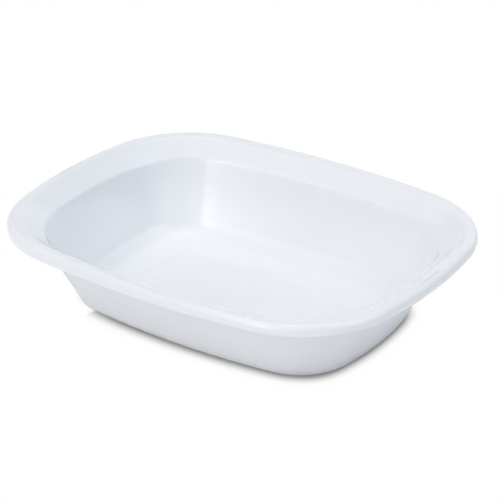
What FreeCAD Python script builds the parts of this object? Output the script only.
import FreeCAD, Part
import math
import os
import Sketcher

# Bedpan, one injection moulding in polypropylene.
# Frame: millimetres, +Z up, origin at the centre of the footprint on the plane it stands on.
# +X runs along the length of the pan, +Y across it.
#
# Every horizontal outline of the pan belongs to one family: a long-side arc, a corner arc and a
# short-side arc per quarter, tangent to each other, with the joints always at the same two normal
# angles. Ruled walls between any two outlines of the family are therefore smooth all the way round.

# Millimetres, except the two blend angles in degrees. Text starting with "=" is a sheet formula.
SIZES = [
    ("wall", 3.0),
    # joints between the arcs: angle of the normal from +Y for the long side, from +X for the short
    ("blend_long", 7.85), ("blend_short", 9.3),
    # rim: the outermost outline and the rolled lip
    ("rim_half_length", 190.0), ("rim_half_width", 150.0), ("rim_corner", 91.5),
    ("crown_level", 77.3), ("skirt_drop", 9.7), ("skirt_level", "=crown_level - skirt_drop"),
    ("lip_outer_round", 7.0), ("lip_inner_round", 9.0), ("skirt_edge_round", 1.3),
    # crest: where the flat crown turns down into the dished seat flange
    ("crest_half_length", 178.8), ("crest_half_width", 138.8), ("crest_corner", 83.4),
    # bend: where the flange turns down into the wall of the bowl
    ("bend_half_length", 162.0), ("bend_half_width", 120.5), ("bend_corner", 72.5),
    ("bend_level", 63.0), ("bend_round", 9.0),
    # bowl floor, inside
    ("floor_half_length", 134.0), ("floor_half_width", 89.5), ("floor_corner", 48.5),
    ("floor_level", "=wall"), ("floor_round", 22.0),
    # foot: the outer bottom edge of the wall
    ("foot_half_length", 136.5), ("foot_half_width", 92.0), ("foot_corner", 51.0),
    ("foot_round", 4.0),
    # underside of the flange, one wall below the seat; its rounds share centres with those above
    ("under_bend_half_length", 165.2), ("under_bend_half_width", 123.6),
    ("under_bend_corner", 75.7), ("under_bend_level", 61.7),
    ("under_bend_round", "=bend_round - wall"),
    ("under_crest_half_length", 179.9), ("under_crest_half_width", 139.9),
    ("under_crest_corner", 84.2), ("under_crest_level", "=crown_level - wall"),
    ("under_crest_round", "=lip_inner_round - wall"),
    ("under_lip_round", "=lip_outer_round - wall"),
    # raised centre panel of the floor, with the matching recess below it
    ("panel_half_length", 97.0), ("panel_half_width", 54.0), ("panel_corner", 33.0),
    ("panel_rise", 1.2), ("panel_level", "=floor_level + panel_rise"),
    ("panel_slope_run", 4.0), ("panel_round", 7.0),
    # gate well: the shallow dimple round the injection point
    ("gate_diameter", 12.0), ("gate_depth", 0.6),
]

OUTLINE_PARTS = ("half_length", "half_width", "corner")
ARC_COUNT = 8

# Which point of a sketch element a constraint holds, and the sketch's own axes and origin
START, END, CENTRE = 1, 2, 3
X_AXIS, Y_AXIS = -1, -2
ORIGIN = (-1, 1)

LEVEL_TOLERANCE = 0.001
OUTLINE_TOLERANCE = 0.02
ANGLE_TOLERANCE = 1e-6

Vector = FreeCAD.Vector
UP = Vector(0, 0, 1)

doc = FreeCAD.newDocument("bedpan")
sheet = doc.addObject("Spreadsheet::Sheet", "sizes")
for row, (alias, value) in enumerate(SIZES, start=1):
    sheet.set("A%d" % row, alias)
    sheet.set("B%d" % row, str(value))
    sheet.setAlias("B%d" % row, alias)
doc.recompute()


def size(alias):
    return float(getattr(sheet, alias))


def check(feature):
    if "Invalid" in feature.State or "Error" in feature.State:
        raise RuntimeError("%s: %s" % (feature.Name, feature.State))
    if feature.Shape.isNull() or not feature.Shape.isValid():
        raise RuntimeError("%s has no valid shape" % feature.Name)


# ---- The outline family. A stem names the three cells of an outline; an inset alias, where
# given, is taken off all three and so moves the outline inwards.

def outline_values(stem, inset=None):
    """Half length, half width and corner radius as numbers."""
    inset_value = size(inset) if inset else 0.0
    return [size("%s_%s" % (stem, part)) - inset_value for part in OUTLINE_PARTS]


def outline_cells(stem, inset=None):
    """The same three as expressions on the sheet."""
    inset_text = " - sizes." + inset if inset else ""
    return ["(sizes.%s_%s%s)" % (stem, part, inset_text) for part in OUTLINE_PARTS]


def blend_angles():
    return math.radians(size("blend_long")), math.radians(size("blend_short"))


def side_radii(half_length, half_width, corner):
    """Radii of the long-side and short-side arcs that meet the corner arc tangentially."""
    long_angle, short_angle = blend_angles()
    sin_long, cos_long = math.sin(long_angle), math.cos(long_angle)
    sin_short, cos_short = math.sin(short_angle), math.cos(short_angle)
    determinant = sin_long * sin_short - (1 - cos_long) * (1 - cos_short)
    reach_x = half_length + corner * (sin_long - cos_short)
    reach_y = half_width + corner * (sin_short - cos_long)
    return ((reach_x * sin_short - reach_y * (1 - cos_short)) / determinant,
            (reach_y * sin_long - reach_x * (1 - cos_long)) / determinant)


def side_radius_texts(half_length, half_width, corner):
    """The same two radii, written as expressions on the sheet."""
    sin_long, cos_long = [f + "(sizes.blend_long * 1 deg)" for f in ("sin", "cos")]
    sin_short, cos_short = [f + "(sizes.blend_short * 1 deg)" for f in ("sin", "cos")]
    determinant = "(%s * %s - (1 - %s) * (1 - %s))" % (sin_long, sin_short, cos_long, cos_short)
    reach_x = "(%s + %s * (%s - %s))" % (half_length, corner, sin_long, cos_short)
    reach_y = "(%s + %s * (%s - %s))" % (half_width, corner, sin_short, cos_long)
    pattern = "(%s * %s - %s * (1 - %s)) / %s"
    return (pattern % (reach_x, sin_short, reach_y, cos_short, determinant),
            pattern % (reach_y, sin_long, reach_x, cos_long, determinant))


def corner_centre(long_radius, short_radius, corner):
    """Centre of the corner arc in the +X +Y quarter."""
    long_angle, short_angle = blend_angles()
    return ((long_radius - corner) * math.sin(long_angle),
            (short_radius - corner) * math.sin(short_angle))


def add_outline(sketch, stem, inset=None, prefix=""):
    """Eight tangent arcs, fully constrained; prefix keeps the constraint names apart."""
    half_length, half_width, corner = outline_values(stem, inset)
    long_radius, short_radius = side_radii(half_length, half_width, corner)
    corner_x, corner_y = corner_centre(long_radius, short_radius, corner)
    long_y = half_width - long_radius
    short_x = half_length - short_radius
    long_angle, short_angle = blend_angles()
    half, full = math.pi / 2, math.pi

    # Counter-clockwise from the +Y side: centre x, centre y, radius, start angle, end angle
    arcs = [
        (0, long_y, long_radius, half - long_angle, half + long_angle),
        (-corner_x, corner_y, corner, half + long_angle, full - short_angle),
        (-short_x, 0, short_radius, full - short_angle, full + short_angle),
        (-corner_x, -corner_y, corner, full + short_angle, full + half - long_angle),
        (0, -long_y, long_radius, full + half - long_angle, full + half + long_angle),
        (corner_x, -corner_y, corner, full + half + long_angle, 2 * full - short_angle),
        (short_x, 0, short_radius, 2 * full - short_angle, 2 * full + short_angle),
        (corner_x, corner_y, corner, short_angle, half - long_angle),
    ]
    first = sketch.GeometryCount
    for x, y, radius, start, end in arcs:
        circle = Part.Circle(Vector(x, y, 0), UP, radius)
        sketch.addGeometry(Part.ArcOfCircle(circle, start, end), False)

    arc = range(first, first + ARC_COUNT)
    y_plus, y_minus, x_minus, x_plus = arc[0], arc[4], arc[2], arc[6]
    Constraint = Sketcher.Constraint
    for k in range(ARC_COUNT):
        sketch.addConstraint(Constraint("Tangent", arc[k], END, arc[(k + 1) % ARC_COUNT], START))
    sketch.addConstraint(Constraint("PointOnObject", y_plus, CENTRE, Y_AXIS))
    sketch.addConstraint(Constraint("Symmetric", y_plus, CENTRE, y_minus, CENTRE, *ORIGIN))
    sketch.addConstraint(Constraint("PointOnObject", x_plus, CENTRE, X_AXIS))
    sketch.addConstraint(Constraint("Symmetric", x_plus, CENTRE, x_minus, CENTRE, *ORIGIN))
    sketch.addConstraint(Constraint("Equal", y_plus, y_minus))
    sketch.addConstraint(Constraint("Equal", x_minus, x_plus))
    for k in (3, 5, 7):
        sketch.addConstraint(Constraint("Equal", arc[1], arc[k]))

    length_cell, width_cell, corner_cell = outline_cells(stem, inset)
    long_text, short_text = side_radius_texts(length_cell, width_cell, corner_cell)
    driven = [
        ("corner_radius", Constraint("Radius", arc[1], corner), corner_cell),
        ("long_radius", Constraint("Radius", y_plus, long_radius), long_text),
        ("short_radius", Constraint("Radius", x_plus, short_radius), short_text),
        ("long_centre", Constraint("DistanceY", y_plus, CENTRE, *ORIGIN, -long_y),
         "%s - %s" % (long_text, width_cell)),
        ("short_centre", Constraint("DistanceX", x_plus, CENTRE, *ORIGIN, -short_x),
         "%s - %s" % (short_text, length_cell)),
    ]
    for label, constraint, text in driven:
        index = sketch.addConstraint(constraint)
        sketch.renameConstraint(index, prefix + label)
        sketch.setExpression("Constraints." + prefix + label, text)


def on_outline(point, half_length, half_width, corner):
    """Whether a point lies on the outline, seen from above."""
    long_radius, short_radius = side_radii(half_length, half_width, corner)
    long_y = half_width - long_radius
    short_x = half_length - short_radius
    long_angle, short_angle = blend_angles()
    x, y = abs(point.x), abs(point.y)
    if math.atan2(x, y - long_y) <= long_angle + ANGLE_TOLERANCE:
        gap = math.hypot(x, y - long_y) - long_radius
    elif math.atan2(y, x - short_x) <= short_angle + ANGLE_TOLERANCE:
        gap = math.hypot(x - short_x, y) - short_radius
    else:
        corner_x, corner_y = corner_centre(long_radius, short_radius, corner)
        gap = math.hypot(x - corner_x, y - corner_y) - corner
    return abs(gap) < OUTLINE_TOLERANCE


# ---- Features. A level is an alias, or None for the plane the pan stands on.

def new_sketch(body, name, level):
    """An empty sketch parallel to the standing plane."""
    sketch = body.newObject("Sketcher::SketchObject", name)
    planes = [f for f in body.Origin.OriginFeatures if f.Role == "XY_Plane"]
    sketch.AttachmentSupport = [(planes[0], "")]
    sketch.MapMode = "FlatFace"
    if level:
        sketch.setExpression("AttachmentOffset.Base.z", "sizes." + level)
    return sketch


def outline(body, name, level, stem, inset=None):
    sketch = new_sketch(body, name, level)
    add_outline(sketch, stem, inset)
    return sketch


def extrude(body, kind, name, profile, length, reverse=False):
    feature = body.newObject("PartDesign::" + kind, name)
    feature.Profile = profile
    feature.Reversed = reverse
    feature.setExpression("Length", length)
    doc.recompute()
    check(feature)


def loft(body, kind, name, first, second):
    """A ruled loft between two outlines, each given as the arguments of outline()."""
    profile = outline(body, *first)
    section = outline(body, *second)
    feature = body.newObject("PartDesign::" + kind, name)
    feature.Profile = profile
    feature.Sections = [section]
    feature.Ruled = True
    feature.Closed = False
    doc.recompute()
    check(feature)


def edges_on(shape, level, values):
    """Names of the edges that lie on an outline at this height."""
    names = []
    for i, edge in enumerate(shape.Edges, start=1):
        points = [vertex.Point for vertex in edge.Vertexes]
        points.append(edge.valueAt((edge.FirstParameter + edge.LastParameter) / 2))
        if all(abs(p.z - level) < LEVEL_TOLERANCE and on_outline(p, *values) for p in points):
            names.append("Edge%d" % i)
    return names


def round_edges(body, name, radius, level, stem, inset=None):
    """Fillet all the edges of one outline; radius is an alias."""
    base = body.Tip
    height = size(level) if level else 0.0
    names = edges_on(base.Shape, height, outline_values(stem, inset))
    if len(names) != ARC_COUNT:
        raise RuntimeError("%s: %d edges found" % (name, len(names)))
    feature = body.newObject("PartDesign::Fillet", name)
    feature.Base = (base, names)
    feature.setExpression("Radius", "sizes." + radius)
    feature.Radius = size(radius)
    doc.recompute()
    check(feature)


# ---- The pan, stage by stage

def add_bowl_and_flange(body):
    """Solid outside of the bowl, then the flange widening out from its top."""
    loft(body, "AdditiveLoft", "bowl_outside",
         ("foot_outline", None, "foot"),
         ("under_bend_outline", "under_bend_level", "under_bend"))
    loft(body, "AdditiveLoft", "flange_underside",
         ("flange_root_outline", "under_bend_level", "under_bend"),
         ("under_crest_outline", "under_crest_level", "under_crest"))


def add_rim(body):
    """Flat crown over the whole outline, and the skirt that hangs from its outer edge."""
    rim = outline(body, "rim_outline", "under_crest_level", "rim")
    extrude(body, "Pad", "rim_crown", rim, "sizes.crown_level - sizes.under_crest_level")

    skirt = outline(body, "skirt_outline", "under_crest_level", "rim")
    add_outline(skirt, "rim", "wall", prefix="inner_")
    extrude(body, "Pad", "rim_skirt", skirt, "sizes.under_crest_level - sizes.skirt_level",
            reverse=True)


def cut_inside(body):
    """Dished seat from the crest to the bend, then the hollow from the bend to the floor."""
    loft(body, "SubtractiveLoft", "seat_dish",
         ("crest_outline", "crown_level", "crest"),
         ("bend_outline", "bend_level", "bend"))
    loft(body, "SubtractiveLoft", "bowl_hollow",
         ("bowl_mouth_outline", "bend_level", "bend"),
         ("floor_outline", "floor_level", "floor"))


def round_shell(body):
    # feature name, radius, level, outline stem, inset
    rounds = [
        ("under_lip_round", "under_lip_round", "under_crest_level", "rim", "wall"),
        ("lip_outer_round", "lip_outer_round", "crown_level", "rim", None),
        ("under_crest_round", "under_crest_round", "under_crest_level", "under_crest", None),
        ("lip_inner_round", "lip_inner_round", "crown_level", "crest", None),
        ("under_bend_round", "under_bend_round", "under_bend_level", "under_bend", None),
        ("bend_round", "bend_round", "bend_level", "bend", None),
        ("floor_round", "floor_round", "floor_level", "floor", None),
        ("foot_round", "foot_round", None, "foot", None),
        ("skirt_outer_edge", "skirt_edge_round", "skirt_level", "rim", None),
        ("skirt_inner_edge", "skirt_edge_round", "skirt_level", "rim", "wall"),
    ]
    for entry in rounds:
        round_edges(body, *entry)


def add_centre_panel(body):
    """The floor steps up slightly and the underside is recessed by the same amount,
    which leaves a flat band round the foot for the pan to stand on."""
    run = "panel_slope_run"
    loft(body, "AdditiveLoft", "floor_panel",
         ("panel_foot_outline", "floor_level", "panel"),
         ("panel_top_outline", "panel_level", "panel", run))
    loft(body, "SubtractiveLoft", "foot_recess",
         ("recess_mouth_outline", None, "panel"),
         ("recess_top_outline", "panel_rise", "panel", run))
    for name, level, inset in [
        ("panel_foot_round", "floor_level", None),
        ("panel_top_round", "panel_level", run),
        ("recess_mouth_round", None, None),
        ("recess_top_round", "panel_rise", run),
    ]:
        round_edges(body, name, "panel_round", level, "panel", inset)


def cut_gate_well(body):
    """Round dimple in the middle of the underside, cut upwards from the recess."""
    diameter = size("gate_diameter")
    sketch = new_sketch(body, "gate_outline", "panel_rise")
    sketch.addGeometry(Part.Circle(Vector(0, 0, 0), UP, diameter / 2), False)
    sketch.addConstraint(Sketcher.Constraint("Coincident", 0, CENTRE, *ORIGIN))
    index = sketch.addConstraint(Sketcher.Constraint("Diameter", 0, diameter))
    sketch.renameConstraint(index, "gate_diameter")
    sketch.setExpression("Constraints.gate_diameter", "sizes.gate_diameter")
    extrude(body, "Pocket", "gate_well", sketch, "sizes.gate_depth", reverse=True)


pan = doc.addObject("PartDesign::Body", "pan_shell")
pan.Label = "pan_shell"
add_bowl_and_flange(pan)
add_rim(pan)
cut_inside(pan)
round_shell(pan)
add_centre_panel(pan)
cut_gate_well(pan)
doc.recompute()

for obj in doc.Objects:
    if "Invalid" in obj.State or "Error" in obj.State:
        raise RuntimeError("%s: %s" % (obj.Name, obj.State))
    if obj.isDerivedFrom("Sketcher::SketchObject") and obj.solve() != 0:
        raise RuntimeError(obj.Name + " does not solve")
check(pan)
if len(pan.Shape.Solids) != 1:
    raise RuntimeError("%s: %d solids" % (pan.Label, len(pan.Shape.Solids)))

os.makedirs("parts", exist_ok=True)
pan.Shape.exportStep("parts/%s.step" % pan.Label)
